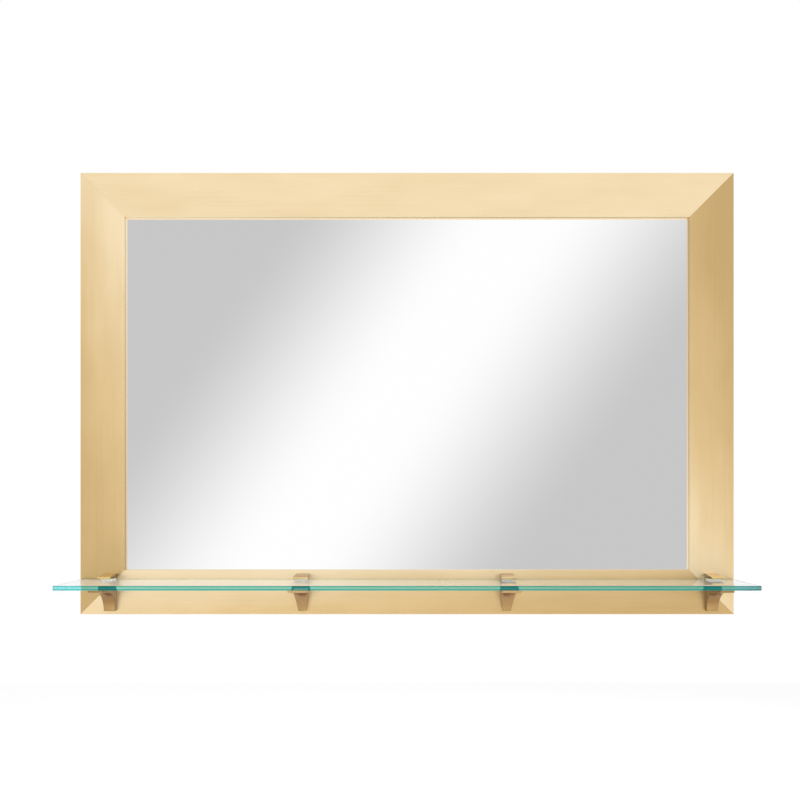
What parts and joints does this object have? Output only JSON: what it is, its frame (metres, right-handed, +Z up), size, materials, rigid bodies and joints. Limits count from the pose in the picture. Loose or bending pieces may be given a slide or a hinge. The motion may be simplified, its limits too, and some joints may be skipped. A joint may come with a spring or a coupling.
{
  "type": "mirror with shelf",
  "caption": "Landscape wall mirror in a flat mitred brushed-gold frame, with a clear glass shelf held across the bottom rail by curved clamp brackets.",
  "frame": {"origin": "on the plane of the frame's back, midway between the entry holes of the two keyhole plates, which are level with the middle of the top rail; the wall is 3 mm behind, at the bumpers' backs", "axes": "+X to the viewer's right along the frame, +Y towards the wall, +Z up"},
  "size_m": [0.9398, 0.153, 0.6351],
  "materials": {
    "brushed_gold": "fine brushed champagne gold, satin",
    "satin_brass": "satin, a little warmer and darker than the frame",
    "rail_core_board": "raw medium-density board",
    "hardboard": "smooth hardboard",
    "zinc_steel": "bright zinc plate",
    "silvered_mirror": "polished silvered glass",
    "shelf_glass": "clear float glass with green polished edges",
    "clear_silicone": "translucent, matt"
  },
  "bodies": {
    "root": {"top_rail_core": "rail_core_board", "top_rail_skin": "brushed_gold", "bottom_rail_core": "rail_core_board", "bottom_rail_skin": "brushed_gold", "left_stile_core": "rail_core_board", "left_stile_skin": "brushed_gold", "right_stile_core": "rail_core_board", "right_stile_skin": "brushed_gold", "corner_plate_top_left": "zinc_steel", "corner_plate_top_right": "zinc_steel", "corner_plate_bottom_left": "zinc_steel", "corner_plate_bottom_right": "zinc_steel", "corner_plate_screws": "zinc_steel", "left_keyhole_plate": "zinc_steel", "right_keyhole_plate": "zinc_steel", "keyhole_plate_screws": "zinc_steel", "retainer_clips": "zinc_steel", "retainer_clip_screws": "zinc_steel", "mirror_glass": "silvered_mirror", "backing_board": "hardboard", "wall_bumpers": "clear_silicone", "left_end_bracket_body": "satin_brass", "left_end_upper_pad": "clear_silicone", "left_inner_bracket_body": "satin_brass", "left_inner_upper_pad": "clear_silicone", "right_inner_bracket_body": "satin_brass", "right_inner_upper_pad": "clear_silicone", "right_end_bracket_body": "satin_brass", "right_end_upper_pad": "clear_silicone", "bracket_fixing_screws": "zinc_steel", "bracket_fixing_washers": "zinc_steel", "bracket_spine_screws": "zinc_steel"},
    "shelf": {"glass_shelf": "shelf_glass"},
    "left_end_jaw": {"left_end_lower_jaw": "satin_brass", "left_end_lower_pad": "clear_silicone"},
    "left_end_screw": {"left_end_clamp_screw": "zinc_steel"},
    "left_inner_jaw": {"left_inner_lower_jaw": "satin_brass", "left_inner_lower_pad": "clear_silicone"},
    "left_inner_screw": {"left_inner_clamp_screw": "zinc_steel"},
    "right_inner_jaw": {"right_inner_lower_jaw": "satin_brass", "right_inner_lower_pad": "clear_silicone"},
    "right_inner_screw": {"right_inner_clamp_screw": "zinc_steel"},
    "right_end_jaw": {"right_end_lower_jaw": "satin_brass", "right_end_lower_pad": "clear_silicone"},
    "right_end_screw": {"right_end_clamp_screw": "zinc_steel"}
  },
  "joints": [
    {"name": "shelf_slide", "type": "slide", "parent": "root", "child": "shelf", "axis": [0, -1, 0], "range_m": [0, 0.125]},
    {"name": "left_end_jaw_slide", "type": "slide", "parent": "root", "child": "left_end_jaw", "axis": [0, 0, -1], "range_m": [0, 0.006]},
    {"name": "left_end_screw_turn", "type": "hinge", "parent": "left_end_jaw", "child": "left_end_screw", "pos_m": [-0.4259, -0.025, -0.59805], "axis": [0, 0, -1], "range_deg": [0, 4320]},
    {"name": "left_inner_jaw_slide", "type": "slide", "parent": "root", "child": "left_inner_jaw", "axis": [0, 0, -1], "range_m": [0, 0.006]},
    {"name": "left_inner_screw_turn", "type": "hinge", "parent": "left_inner_jaw", "child": "left_inner_screw", "pos_m": [-0.15, -0.025, -0.59805], "axis": [0, 0, -1], "range_deg": [0, 4320]},
    {"name": "right_inner_jaw_slide", "type": "slide", "parent": "root", "child": "right_inner_jaw", "axis": [0, 0, -1], "range_m": [0, 0.006]},
    {"name": "right_inner_screw_turn", "type": "hinge", "parent": "right_inner_jaw", "child": "right_inner_screw", "pos_m": [0.143, -0.025, -0.59805], "axis": [0, 0, -1], "range_deg": [0, 4320]},
    {"name": "right_end_jaw_slide", "type": "slide", "parent": "root", "child": "right_end_jaw", "axis": [0, 0, -1], "range_m": [0, 0.006]},
    {"name": "right_end_screw_turn", "type": "hinge", "parent": "right_end_jaw", "child": "right_end_screw", "pos_m": [0.4369, -0.025, -0.59805], "axis": [0, 0, -1], "range_deg": [0, 4320]}
  ],
  "couplings": [
    {"joint": "left_end_screw_turn", "follows": "left_end_jaw_slide", "rad_per_m": 12566},
    {"joint": "left_inner_screw_turn", "follows": "left_inner_jaw_slide", "rad_per_m": 12566},
    {"joint": "right_inner_screw_turn", "follows": "right_inner_jaw_slide", "rad_per_m": 12566},
    {"joint": "right_end_screw_turn", "follows": "right_end_jaw_slide", "rad_per_m": 12566}
  ]
}
